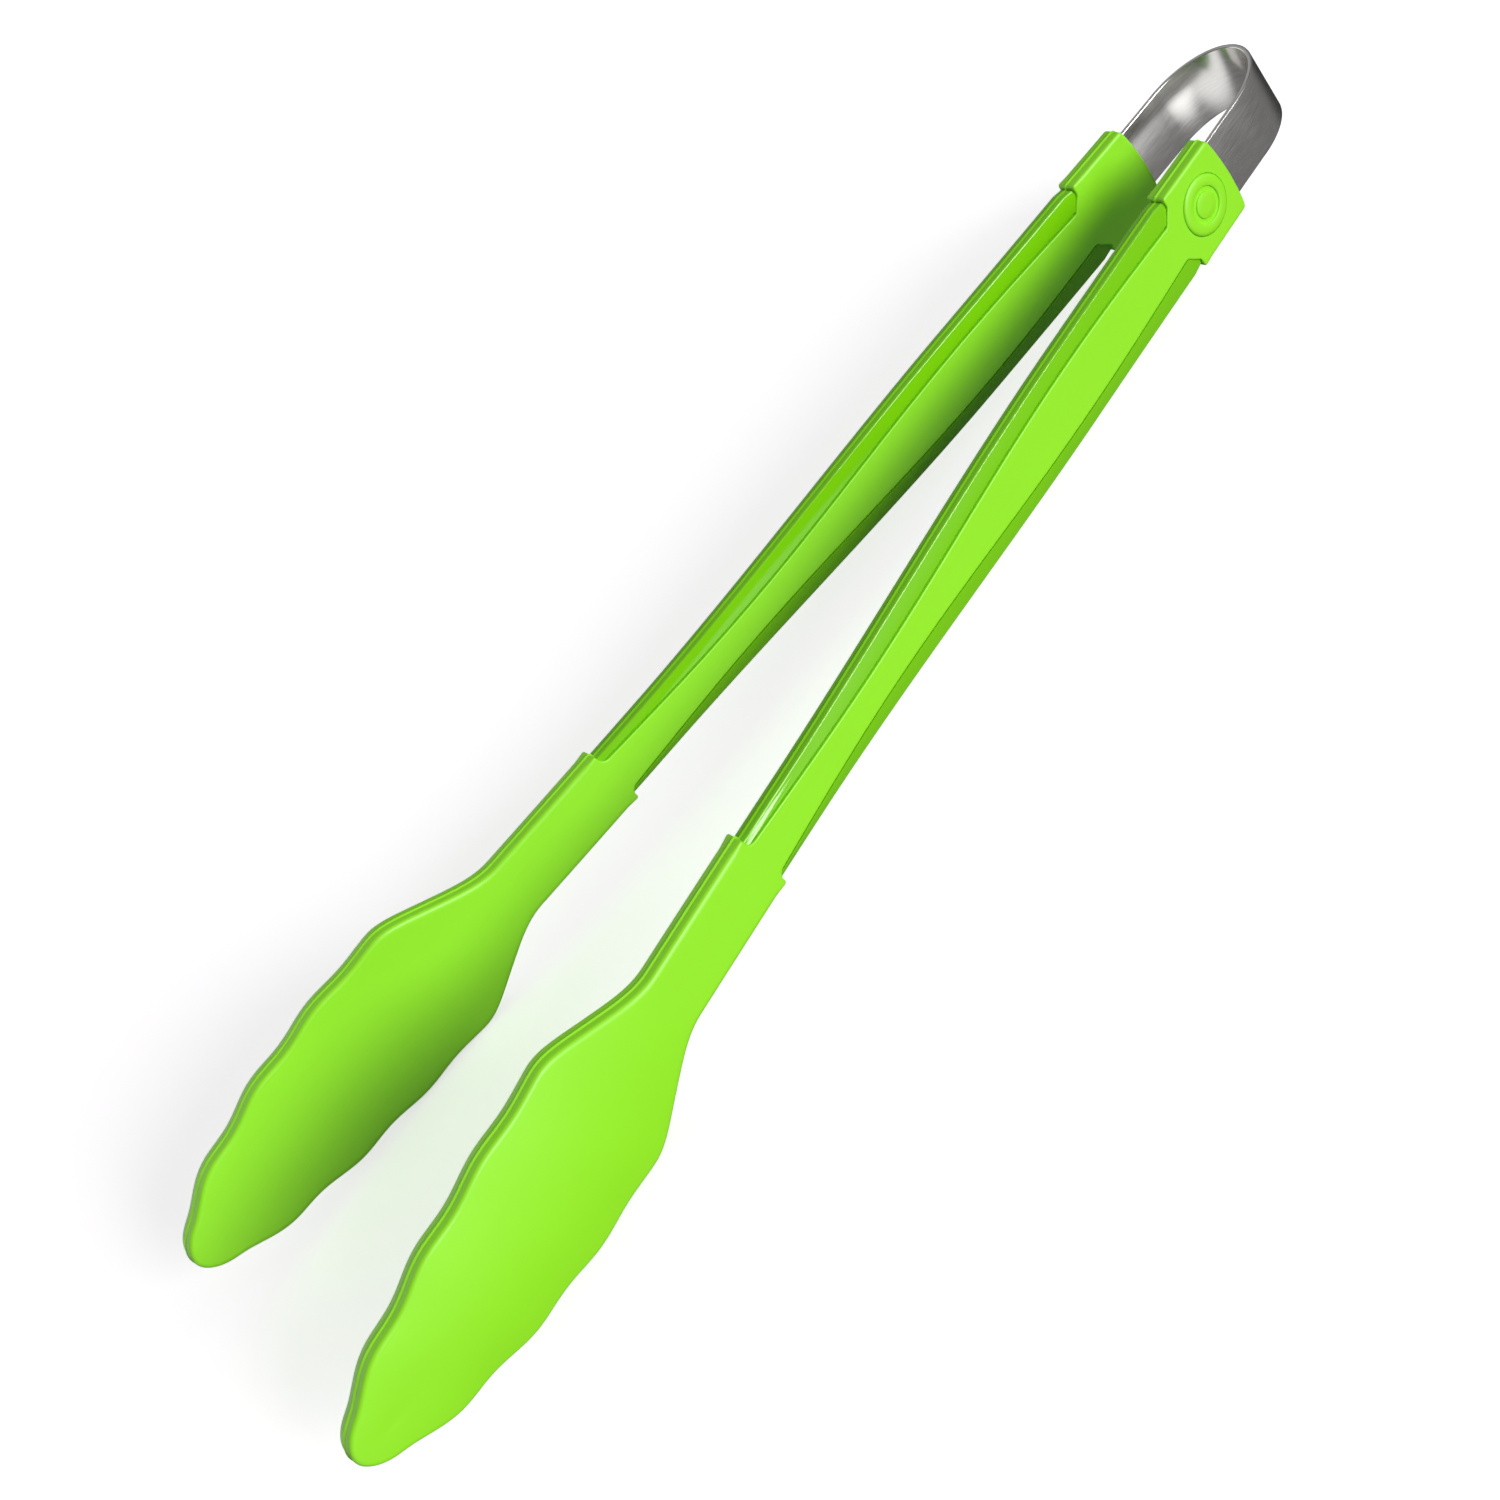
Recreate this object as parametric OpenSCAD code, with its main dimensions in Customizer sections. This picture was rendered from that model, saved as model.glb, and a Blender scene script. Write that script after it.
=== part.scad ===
// Spring loaded kitchen tongs, lying on their side.
// Frame: origin at the middle of the footprint on the worktop. X runs along the tongs, with the
// spring bow at +X and the tips at -X. Y is the opening direction and Z is up.
// "Station" below is a distance along the tongs from the tips, and "half" is half a width.

/* [Overall] */
// Length from the tips to the end of the spring bow
total_length = 298; // [294:1:304]
// Distance from the middle plane to the middle of an arm, at the cap's end
cap_spread = 11.3; // [10.5:0.1:12.5]
// How much each arm leans outwards at its cap, in mm for each mm of length
arm_lean = 0.058; // [0.05:0.001:0.065]
// How much that lean grows along the arm, in mm for each square mm
arm_bow = 0.00017; // [0.00014:0.00001:0.0002]
// How strongly each head curls back inwards, in mm for each square mm
head_curl = 0.0011; // [0.0008:0.0001:0.0012]

/* [Head] */
// Half width of a head at its widest
head_half = 16; // [14:0.5:18]
// Station where the head is fully wide
head_length = 62; // [58:1:64]
// Distance from one scallop of the edge to the next
scallop_pitch = 17.6; // [16:0.1:19]
// Depth of the scallops at the tip
scallop_depth = 0.65; // [0.3:0.05:0.8]
// Half width of the neck behind the head
neck_half = 6.9; // [6.5:0.1:7.5]
// Thickness of the dome on the outside of a head, from the seam
dome_height = 3.6; // [3:0.1:4]

/* [Handle] */
// Half width of the hard core where it leaves the head's skin
core_half_thin = 5.85; // [5.5:0.05:6.2]
// Half width of the hard core at its widest
core_half_wide = 8.55; // [8:0.05:9]
// Thickness of the soft skin from the seam to its face
skin_height = 2.25; // [2.2:0.05:2.5]
// Half thickness of the hard core under the skin
core_height = 1.35; // [1.3:0.05:1.4]
// Half width of the cap where it meets the handle
cap_half = 8.9; // [8.85:0.05:9.4]

/* [Spring] */
// Width of the spring strip
strip_width = 13.5; // [12:0.5:14]
// Thickness of the spring strip
strip_thickness = 0.9; // [0.8:0.1:1]
// Length of each spring leg held inside its arm
leg_grip = 33; // [30:1:36]

/* [Fastening] */
// Diameter of a rivet's shank
rivet_d = 3; // [2.5:0.1:3.2]
// Diameter of a rivet's head
rivet_head_d = 5.6; // [5:0.1:6]
// Diameter of the round badge on each cap
badge_d = 11.6; // [10:0.1:12]

/* [Hidden] */
$fn = 64;

SOFT = "#99F22A";
HARD = "#7ACB10";
STEEL = "#8F8D8B";

seam_bead = 0.3;                 // how far the seam's bead stands out of the edge
bead_height = 0.35;              // half thickness of that bead
edge_height = 1.6;               // half thickness of the arm's side faces
face_inset = 0.8;                // how far the skin's flat face stops short of its edge
dome_from = [5, 8];              // stations where the two steps of the dome begin
dome_back = [7, 14];             // how far before the shoulder's end they stop
dome_share = [0.675, 0.5];       // their share of the head's half width
strip_gap = 0.1;                 // room round the spring legs in their pocket
strip_hole_room = 0.6;           // how much wider the strip's holes are than a rivet
sleeve_end = 117.8;              // station where the head's skin stops on the handle
cap_start = 258.4;               // station where the cap begins
cap_end = 273.1;                 // station where the cap's sides end
cap_bulge = 0.8;                 // how far the cap's end curves out past its sides
cap_taper = 0.2;                 // loss of half width along the cap
core_start = 6;                  // station of the hard core's tip inside the head
core_inset = 2.6;                // skin thickness round the core in the head
neck_cover = 1.3;                // the same at the neck
cap_cover = 0.8;                 // the same at the cap
scallop_fade = 0.006;            // loss of scallop depth per mm away from the tip
stripe_half = 4.2;               // mean half width of the soft stripe on the handle
stripe_swell = 1.2;              // how much wider and narrower it grows
stripe_widest = 222;             // station where it is widest
stripe_wave = 134;               // distance from one widest place to the next
flare_start = 130;               // station where the handle starts to widen
flare_length = 92;               // length over which it widens
spine_half = 2.6;                // half width of the steel spine
spine_height = 0.4;              // half thickness of the steel spine
spine_start = 26;                // station of the spine's front end
badge_station = 265.4;             // station of the badge and of the rivet below it
neck_rivet_station = 247;        // station of the other rivet
rivet_head_height = 0.45;        // thickness of a rivet's head
washer_d = 6.6;
washer_thickness = 0.3;
tail_spread = 1.2;               // how much wider a rivet's tail is than its shank
tail_height = 0.2;
badge_seat = 1.85;               // depth of the badge's seat, from the seam
badge_proud = 0.35;              // how far the badge stands out of the cap
mark_d = 6.4;                    // diameter of the ring pressed into the badge
mark_width = 1;
mark_depth = 0.25;
outline_step = 2.5;              // spacing of the points along an outline
band_step = 10;                  // spacing of the points along the arm's gentle bend
deep = 2;                        // half depth of a cut through the hard core
tall = 60;                       // longer than any cut needs to be

bow_start = total_length - 15;   // station where the spring's round bow begins
bow_length = total_length - strip_thickness / 2 - bow_start;
shoulder_start = head_length + 4;
shoulder_end = shoulder_start + 24.5;
first_scallop = 14.9;
curl_start = cap_end - 208;      // station where the head starts to curl inwards
spine_end = cap_end - leg_grip - 6;
leg_end = cap_end - leg_grip;

function smooth(t) = let (u = min(1, max(0, t))) u * u * (3 - 2 * u);
function grid(from, to, gap) =
    concat([from], [for (i = [floor(from / gap) + 1:ceil(to / gap) - 1]) i * gap], [to]);
function stations(from, to) = grid(from, to, outline_step);

// Middle of the rear arm, as a distance from the plane between the arms
function lean(u) = cap_spread + arm_lean * u + arm_bow * u * u;
function middle(a) =
    a > curl_start ? lean(cap_end - a)
    : let (u = cap_end - curl_start, d = curl_start - a)
        lean(u) + (arm_lean + 2 * arm_bow * u) * d - head_curl * d * d;

// Half widths along the arm
function scallop(a) =
    (scallop_depth - scallop_fade * a) * cos(360 * (a - first_scallop) / scallop_pitch);
function ellipse_half(a, length, half) =
    a >= length ? half : half * sqrt(max(0, 1 - pow((length - a) / length, 2)));
function head_edge(a) =
    let (blade = ellipse_half(a, head_length, head_half) + scallop(a) * smooth(a / 8))
        blade + (neck_half - blade) * smooth((a - shoulder_start) / (shoulder_end - shoulder_start));
function stripe_edge(a) =
    stripe_half + stripe_swell * cos(360 * (a - stripe_widest) / stripe_wave);
function cap_edge(a) = cap_half - cap_taper * (a - cap_start) / (cap_end - cap_start);
mid_height = max([for (a = stations(0, sleeve_end)) head_edge(a)]) + seam_bead;
function handle_edge(a) =
    core_half_thin + (core_half_wide - core_half_thin) * smooth((a - flare_start) / flare_length);
function core_edge(a) =
    a < shoulder_start ? ellipse_half(a - core_start, head_length - core_start, head_half - core_inset)
    : a < sleeve_end
        ? let (narrow = neck_half - neck_cover, blade = head_half - core_inset)
            blade + (narrow - blade) * smooth((a - shoulder_start) / (shoulder_end - shoulder_start))
    : a < cap_start ? handle_edge(a)
    : cap_edge(a) - cap_cover;

// A band that follows the arm, seen from above, between two distances from its middle
module band(from, to, low, high) {
    points = grid(from, to, band_step);
    translate([0, 0, -tall])
        linear_extrude(2 * tall)
            polygon(concat(
                [for (a = points) [a, middle(a) + high]],
                [for (i = [len(points) - 1:-1:0]) [points[i], middle(points[i]) + low]]
            ));
}

// An outline seen along Y, mirrored about the arm's middle height
module plan(points) {
    rotate([90, 0, 0])
        translate([0, 0, -tall])
            linear_extrude(2 * tall)
                polygon(concat(points, [for (i = [len(points) - 1:-1:0]) [points[i][0], -points[i][1]]]));
}

function sleeve_outline(extra) =
    [for (a = stations(0, sleeve_end)) [a - extra * (1 - smooth(a / 8)), max(0.4, head_edge(a) + extra)]];
function stripe_outline() =
    [for (a = stations(sleeve_end, cap_start)) [a, stripe_edge(a)]];
function cap_outline(extra) =
    [[cap_start, cap_edge(cap_start) + extra], [cap_end, cap_edge(cap_end) + extra]];
function cap_end_arc() =
    [for (t = [8:-1:0]) [cap_end + cap_bulge * (1 - t * t / 64), cap_edge(cap_end) * t / 8]];
function core_outline() =
    concat([for (a = stations(core_start, cap_start - 0.5)) [a, max(0.4, core_edge(a))]],
        [for (a = [cap_start + 0.5, cap_end]) [a, core_edge(a)]]);

// Everything on the arm is modelled as a rear arm lying at the middle height
module place(arm) {
    translate([-total_length / 2, 0, mid_height])
        mirror([0, arm == "front" ? 1 : 0, 0])
            children();
}

// The block that the two hard halves are cut from
module core_block(low, high) {
    intersection() {
        band(core_start - 1, cap_end + 1, low, high);
        plan(core_outline());
    }
}

// The sides of the handle, which the skin leaves bare
module bare_sides(low, high) {
    difference() {
        intersection() {
            band(sleeve_end, cap_start, low, high);
            plan([for (a = stations(sleeve_end, cap_start)) [a, handle_edge(a)]]);
        }
        plan(stripe_outline());
    }
}

module across(station, d, low, high) {
    y = middle(station);
    translate([station, y + high, 0])
        rotate([90, 0, 0])
            cylinder(d = d, h = high - low);
}

module core_half(side) {
    low = side == "outer" ? 0 : -core_height;
    high = side == "outer" ? core_height : 0;
    bare_low = side == "outer" ? 0 : -edge_height;
    bare_high = side == "outer" ? edge_height : 0;
    pocket = strip_thickness / 2 + strip_gap;
    color(HARD)
        difference() {
            union() {
                core_block(low, high);
                bare_sides(bare_low, bare_high);
            }
            intersection() {
                band(leg_end - 1, cap_end + 5, -pocket, pocket);
                plan([[leg_end - 1, strip_width / 2 + strip_gap], [cap_end + 5, strip_width / 2 + strip_gap]]);
            }
            intersection() {
                band(spine_start, spine_end, -spine_height, spine_height);
                plan([[spine_start, spine_half], [spine_end, spine_half]]);
            }
            for (station = [badge_station, neck_rivet_station]) {
                across(station, rivet_d, -deep, deep);
                across(station, rivet_head_d, core_height, deep);
                across(station, washer_d, -deep, -core_height);
            }
        }
}

// Soft skin: head, stripe and cap in one moulding, from the seam to its face
module skin_levels(side) {
    sign = side == "outer" ? 1 : -1;
    // [how far the level stands out past the edge, its height from the seam]
    edges = [[seam_bead, bead_height], [0, edge_height], [-face_inset, skin_height]];
    for (level = edges) {
        intersection() {
            band(-1, sleeve_end, sign > 0 ? 0 : -level[1], sign > 0 ? level[1] : 0);
            plan(sleeve_outline(level[0]));
        }
        intersection() {
            band(cap_start, cap_end + 1, sign > 0 ? 0 : -level[1], sign > 0 ? level[1] : 0);
            plan(concat(cap_outline(level[0]), cap_end_arc()));
        }
    }
    intersection() {
        band(sleeve_end - 1, cap_start + 1, sign > 0 ? 0 : -skin_height, sign > 0 ? skin_height : 0);
        plan(concat([[sleeve_end - 1, 3]], stripe_outline(), [[cap_start + 1, 3]]));
    }
    if (side == "outer")
        for (i = [0, 1]) {
            from = dome_from[i];
            to = shoulder_end - dome_back[i];
            intersection() {
                band(from, to, 0, skin_height + (dome_height - skin_height) * (i + 1) / 2);
                plan([for (a = stations(from, to)) [a, head_edge(a) * dome_share[i]]]);
            }
        }
}

module skin(side) {
    color(SOFT)
        difference() {
            skin_levels(side);
            core_block(-core_height, core_height);
            bare_sides(-edge_height, edge_height);
            intersection() {
                band(leg_end - 1, cap_end + 5, -1, 1);
                plan([[leg_end - 1, strip_width / 2 + strip_gap], [cap_end + 5, strip_width / 2 + strip_gap]]);
            }
            for (station = [badge_station, neck_rivet_station])
                across(station, washer_d, -badge_seat, badge_seat);
            if (side == "outer")
                across(badge_station, badge_d, badge_seat, tall / 10);
        }
}

module spine() {
    color(STEEL)
        intersection() {
            band(spine_start, spine_end, -spine_height, spine_height);
            plan([[spine_start, spine_half], [spine_end, spine_half]]);
        }
}

// Rivet with its head outside and its tail spread over the washer inside
module rivet(station) {
    top = core_height + rivet_head_height;
    tail = -core_height - washer_thickness;
    color(STEEL) {
        across(station, rivet_d, tail, core_height);
        across(station, rivet_head_d, core_height, top);
        across(station, rivet_d + tail_spread, tail - tail_height, tail);
    }
}

module washer(station) {
    color(STEEL)
        difference() {
            across(station, washer_d, -core_height - washer_thickness, -core_height);
            across(station, rivet_d, -core_height - 1, 0);
        }
}

// Round badge with a plain ring pressed into it
module badge() {
    face = skin_height + badge_proud;
    color(SOFT)
        difference() {
            across(badge_station, badge_d, badge_seat, face);
            difference() {
                across(badge_station, mark_d, face - mark_depth, face + 1);
                across(badge_station, mark_d - 2 * mark_width, face - mark_depth - 1, face + 2);
            }
        }
}

// Middle line of the spring strip: an oval bow, then a leg that follows each arm
function bow_point(t) = [bow_start + bow_length * cos(t), middle(bow_start) * sin(t)];
function strip_line() =
    let (leg = grid(leg_end, bow_start, band_step))
        concat(
            [for (a = leg) [a, middle(a)]],
            [for (t = [84:-6:-84]) bow_point(t)],
            [for (i = [len(leg) - 1:-1:0]) [leg[i], -middle(leg[i])]]
        );
function unit(v) = v / norm(v);
function side_of(line, i) =
    let (along = unit(line[min(len(line) - 1, i + 1)] - line[max(0, i - 1)])) [-along[1], along[0]];

module spring_strip() {
    line = strip_line();
    half = strip_thickness / 2;
    color(STEEL)
        translate([-total_length / 2, 0, mid_height])
            difference() {
                translate([0, 0, -strip_width / 2])
                    linear_extrude(strip_width)
                        polygon(concat(
                            [for (i = [0:len(line) - 1]) line[i] + half * side_of(line, i)],
                            [for (i = [len(line) - 1:-1:0]) line[i] - half * side_of(line, i)]
                        ));
                for (side = [0, 1], station = [badge_station, neck_rivet_station])
                    mirror([0, side, 0])
                        across(station, rivet_d + strip_hole_room, -deep, deep);
            }
}

module arm_piece(arm, piece) {
    place(arm) {
        if (piece == "outer_skin") skin("outer");
        if (piece == "inner_skin") skin("inner");
        if (piece == "outer_core") core_half("outer");
        if (piece == "inner_core") core_half("inner");
        if (piece == "spine") spine();
        if (piece == "end_rivet") rivet(badge_station);
        if (piece == "neck_rivet") rivet(neck_rivet_station);
        if (piece == "end_washer") washer(badge_station);
        if (piece == "neck_washer") washer(neck_rivet_station);
        if (piece == "badge") badge();
    }
}

spring_strip();
arm_piece("front", "outer_skin");  // front_outer_skin
arm_piece("front", "inner_skin");  // front_inner_skin
arm_piece("front", "outer_core");  // front_outer_core
arm_piece("front", "inner_core");  // front_inner_core
arm_piece("front", "spine");  // front_spine
arm_piece("front", "end_rivet");  // front_end_rivet
arm_piece("front", "neck_rivet");  // front_neck_rivet
arm_piece("front", "end_washer");  // front_end_washer
arm_piece("front", "neck_washer");  // front_neck_washer
arm_piece("front", "badge");  // front_badge
arm_piece("rear", "outer_skin");  // rear_outer_skin
arm_piece("rear", "inner_skin");  // rear_inner_skin
arm_piece("rear", "outer_core");  // rear_outer_core
arm_piece("rear", "inner_core");  // rear_inner_core
arm_piece("rear", "spine");  // rear_spine
arm_piece("rear", "end_rivet");  // rear_end_rivet
arm_piece("rear", "neck_rivet");  // rear_neck_rivet
arm_piece("rear", "end_washer");  // rear_end_washer
arm_piece("rear", "neck_washer");  // rear_neck_washer
arm_piece("rear", "badge");  // rear_badge
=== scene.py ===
"""Spring loaded kitchen tongs: soft skins, hard cores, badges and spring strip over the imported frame."""

import math

import bpy
from mathutils import Matrix, Vector


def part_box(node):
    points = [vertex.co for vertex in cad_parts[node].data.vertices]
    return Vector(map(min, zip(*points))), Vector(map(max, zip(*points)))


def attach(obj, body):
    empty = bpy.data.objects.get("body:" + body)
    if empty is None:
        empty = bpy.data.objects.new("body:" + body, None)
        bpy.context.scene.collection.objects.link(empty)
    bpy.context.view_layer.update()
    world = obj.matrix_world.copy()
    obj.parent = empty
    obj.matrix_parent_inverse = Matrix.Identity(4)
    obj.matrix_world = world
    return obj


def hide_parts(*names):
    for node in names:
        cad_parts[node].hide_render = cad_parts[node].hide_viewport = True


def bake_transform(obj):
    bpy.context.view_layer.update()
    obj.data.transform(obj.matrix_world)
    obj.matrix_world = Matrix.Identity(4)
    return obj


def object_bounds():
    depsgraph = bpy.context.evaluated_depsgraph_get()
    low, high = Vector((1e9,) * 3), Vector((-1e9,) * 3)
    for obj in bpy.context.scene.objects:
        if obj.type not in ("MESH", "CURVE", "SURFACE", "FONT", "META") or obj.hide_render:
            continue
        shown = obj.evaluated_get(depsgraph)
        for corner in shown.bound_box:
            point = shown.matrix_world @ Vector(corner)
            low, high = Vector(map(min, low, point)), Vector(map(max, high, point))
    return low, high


bl_info = {
    "name": "Kitchen Tongs",
    "version": (1, 0, 0),
    "blender": (4, 5, 0),
    "location": "View3D > Sidebar > Tongs",
    "description": "Models and finishes a pair of spring loaded kitchen tongs",
    "category": "Object",
}

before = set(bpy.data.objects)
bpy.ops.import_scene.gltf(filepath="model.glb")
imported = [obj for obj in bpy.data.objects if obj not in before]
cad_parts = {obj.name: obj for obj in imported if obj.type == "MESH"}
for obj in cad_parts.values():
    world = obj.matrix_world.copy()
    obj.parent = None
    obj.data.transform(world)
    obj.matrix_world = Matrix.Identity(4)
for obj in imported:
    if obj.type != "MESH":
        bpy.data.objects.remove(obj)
CAD_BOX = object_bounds()
STRIP_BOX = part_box("spring_strip")
MID_HEIGHT = (STRIP_BOX[0].z + STRIP_BOX[1].z) / 2
TIP_X = CAD_BOX[0].x + 0.0003

MM = 0.001
ARMS = {"front": -1, "rear": 1}
SIDES = {"outer": 1, "inner": -1}

# Stations, in mm from the tips
CORE_START = 6
HEAD_LENGTH = 62
SHOULDER_START = 66
SHOULDER_END = 90.5
SLEEVE_END = 117.8
LEG_END = 239.7
CAP_START = 258.4
CAP_END = 273.1
BOW_START = 283

# Heights above the seam, in mm
SKIN_FACE = 2.25
CORE_TOP = 1.35
BEAD_FOOT = 0.35

# The arm's middle line, in mm: where it lies at the cap's end, its slope and its two bends
LEAN_START = 11.3
LEAN_SLOPE = 0.058
LEAN_BEND = 0.00017
CURL_BEND = 0.0011
CURL_FROM_CAP = 208

# Half widths, in mm
HEAD_HALF = 16
NECK_HALF = 6.9
CORE_HEAD_HALF = 13.4
CORE_NECK_HALF = 5.6
HANDLE_HALF = 5.85
HANDLE_SWELL = 2.7
STRIPE_HALF = 4.2
STRIPE_SWELL = 1.2
CAP_HALF = 8.9
CAP_TAPER = 0.2
CAP_WALL = 0.8

# Waves along the edges, in mm: the head's scallops, the stripe's waist and the handle's swell
SCALLOP_DEPTH = 0.65
SCALLOP_FADE = 0.006
SCALLOP_PEAK = 14.9
SCALLOP_PITCH = 17.6
SCALLOP_RISE = 8
STRIPE_WIDEST = 222
STRIPE_PITCH = 134
HANDLE_SWELL_START = 130
HANDLE_SWELL_LENGTH = 92


# ---------------------------------------------------------------- settings


class TongsSkinSettings(bpy.types.PropertyGroup):
    """Sizes and finish of the soft skins."""

    fillet: bpy.props.FloatProperty(
        name="Edge rounding", description="Radius of the round edge of the heads and caps",
        default=0.0010, min=0.0002, max=0.0014, precision=5, unit="LENGTH", subtype="DISTANCE")
    dome: bpy.props.FloatProperty(
        name="Dome", description="How far the outside of a head swells above its rim",
        default=0.00125, min=0, max=0.00135, precision=5, unit="LENGTH", subtype="DISTANCE")
    inner_dome: bpy.props.FloatProperty(
        name="Inner dome", description="How far the gripping side of a head swells",
        default=0.00015, min=0, max=0.0004, precision=5, unit="LENGTH", subtype="DISTANCE")
    bead: bpy.props.FloatProperty(
        name="Seam bead", description="How far the moulding seam stands out of the edge",
        default=0.00024, min=0, max=0.0003, precision=5, unit="LENGTH", subtype="DISTANCE")
    colour: bpy.props.FloatVectorProperty(
        name="Colour", description="Colour of the silicone rubber",
        default=(0.300, 0.85, 0.009), size=3, min=0, max=1, subtype="COLOR")
    roughness: bpy.props.FloatProperty(
        name="Roughness", description="Roughness of the silicone rubber",
        default=0.46, min=0, max=1, subtype="FACTOR")


class TongsCoreSettings(bpy.types.PropertyGroup):
    """Sizes and finish of the hard handle halves."""

    gap: bpy.props.FloatProperty(
        name="Gap", description="Gap between the grip stripe and the hard handle",
        default=0.00036, min=0, max=0.0006, precision=5, unit="LENGTH", subtype="DISTANCE")
    facet_top: bpy.props.FloatProperty(
        name="Facet height", description="Height of the sloping facet where it meets the stripe",
        default=0.0020, min=0.0017, max=0.0022, precision=5, unit="LENGTH", subtype="DISTANCE")
    colour: bpy.props.FloatVectorProperty(
        name="Colour", description="Colour of the hard nylon",
        default=(0.20, 0.62, 0.004), size=3, min=0, max=1, subtype="COLOR")
    roughness: bpy.props.FloatProperty(
        name="Roughness", description="Roughness of the hard nylon",
        default=0.14, min=0, max=1, subtype="FACTOR")


class TongsBadgeSettings(bpy.types.PropertyGroup):
    """Sizes of the round badges."""

    radius: bpy.props.FloatProperty(
        name="Radius", description="Radius of the badge",
        default=0.0057, min=0.004, max=0.006, precision=5, unit="LENGTH", subtype="DISTANCE")
    ring: bpy.props.FloatProperty(
        name="Ring radius", description="Radius of the ring pressed into the badge",
        default=0.0030, min=0.002, max=0.004, precision=5, unit="LENGTH", subtype="DISTANCE")


class TongsStripSettings(bpy.types.PropertyGroup):
    """Sizes and finish of the spring strip."""

    width: bpy.props.FloatProperty(
        name="Width", description="Width of the spring strip",
        default=STRIP_BOX[1].z - STRIP_BOX[0].z, min=0.01, max=0.016,
        precision=5, unit="LENGTH", subtype="DISTANCE")
    thickness: bpy.props.FloatProperty(
        name="Thickness", description="Thickness of the spring strip",
        default=0.0009, min=0.0005, max=0.0012, precision=5, unit="LENGTH", subtype="DISTANCE")
    colour: bpy.props.FloatVectorProperty(
        name="Colour", description="Colour of the stainless steel",
        default=(0.66, 0.645, 0.63), size=3, min=0, max=1, subtype="COLOR")
    roughness: bpy.props.FloatProperty(
        name="Roughness", description="Roughness of the brushed strip",
        default=0.22, min=0, max=1, subtype="FACTOR")


class TongsStageSettings(bpy.types.PropertyGroup):
    """Floor, lights and camera."""

    floor: bpy.props.FloatVectorProperty(
        name="Floor", description="Colour of the pale floor",
        default=(0.98, 0.94, 0.98), size=3, min=0, max=1, subtype="COLOR")
    floor_glow: bpy.props.FloatProperty(
        name="Floor glow", description="Light that the floor gives off, which keeps it pale in shadow",
        default=0.60, min=0, max=2)
    key_strength: bpy.props.FloatProperty(
        name="Key light", description="Strength of the broad key light",
        default=2.8, min=0, max=20)
    key_angle: bpy.props.FloatProperty(
        name="Key softness", description="Angle that the key light spans",
        default=math.radians(26), min=0, max=math.pi, subtype="ANGLE")
    fill_strength: bpy.props.FloatProperty(
        name="Fill strength", description="Strength of the soft light on the back of the tongs",
        default=1.0, min=0, max=20)
    edge_power: bpy.props.FloatProperty(
        name="Edge light", description="Power of the small light at the spring's end",
        default=0.35, min=0, max=500, unit="POWER")
    sky: bpy.props.FloatProperty(
        name="Sky", description="Strength of the even light from all round",
        default=0.19, min=0, max=4)
    front_panel: bpy.props.FloatProperty(
        name="Front panel", description="Brightness of the soft panel in front, for reflections only",
        default=9.0, min=0, max=50)
    low_panel: bpy.props.FloatProperty(
        name="Low panel", description="Brightness of the panel low on the tip side, for reflections only",
        default=6.3, min=0, max=50)
    back_panel: bpy.props.FloatProperty(
        name="Back panel", description="Brightness of the soft panel behind, for reflections only",
        default=1.4, min=0, max=50)
    lens: bpy.props.FloatProperty(
        name="Lens", description="Focal length of the camera, in millimetres",
        default=54.19, min=20, max=120)


# ---------------------------------------------------------------- the arm's shape, in mm


def smooth(t):
    """Eases from 0 to 1 as t goes from 0 to 1."""
    u = min(1.0, max(0.0, t))
    return u * u * (3 - 2 * u)


def lean(u):
    """Where the arm's middle line lies, that far from the cap's end."""
    return LEAN_START + LEAN_SLOPE * u + LEAN_BEND * u * u


def middle(a):
    """Distance of an arm's middle from the plane between the arms."""
    curl_start = CAP_END - CURL_FROM_CAP
    if a > curl_start:
        return lean(CAP_END - a)
    d = curl_start - a
    return lean(CURL_FROM_CAP) + (LEAN_SLOPE + 2 * LEAN_BEND * CURL_FROM_CAP) * d - CURL_BEND * d * d


def ellipse_half(a, length, half):
    """Half width of a blade that is round at its tip and reaches its full width after that length."""
    return half if a >= length else half * math.sqrt(max(0.0, 1 - ((length - a) / length) ** 2))


def shoulder(a):
    """How far along the shoulder from the head to the neck, from 0 to 1."""
    return smooth((a - SHOULDER_START) / (SHOULDER_END - SHOULDER_START))


def head_edge(a):
    """Half width of the scalloped head and of the neck."""
    scallop = (SCALLOP_DEPTH - SCALLOP_FADE * a) * math.cos(math.tau * (a - SCALLOP_PEAK) / SCALLOP_PITCH)
    blade = ellipse_half(a, HEAD_LENGTH, HEAD_HALF) + scallop * smooth(a / SCALLOP_RISE)
    return blade + (NECK_HALF - blade) * shoulder(a)


def stripe_edge(a):
    """Half width of the waisted grip stripe."""
    return STRIPE_HALF + STRIPE_SWELL * math.cos(math.tau * (a - STRIPE_WIDEST) / STRIPE_PITCH)


def cap_edge(a):
    """Half width of the cap."""
    return CAP_HALF - CAP_TAPER * (a - CAP_START) / (CAP_END - CAP_START)


def handle_edge(a):
    """Half width of the bare handle."""
    return HANDLE_HALF + HANDLE_SWELL * smooth((a - HANDLE_SWELL_START) / HANDLE_SWELL_LENGTH)


def core_edge(a):
    """Half width of the hard core, hidden in the head and cap and bare along the handle."""
    if a < SHOULDER_START:
        return ellipse_half(a - CORE_START, HEAD_LENGTH - CORE_START, CORE_HEAD_HALF)
    if a < SLEEVE_END:
        return CORE_HEAD_HALF + (CORE_NECK_HALF - CORE_HEAD_HALF) * shoulder(a)
    if a < CAP_START:
        return handle_edge(a)
    return cap_edge(a) - CAP_WALL


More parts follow.
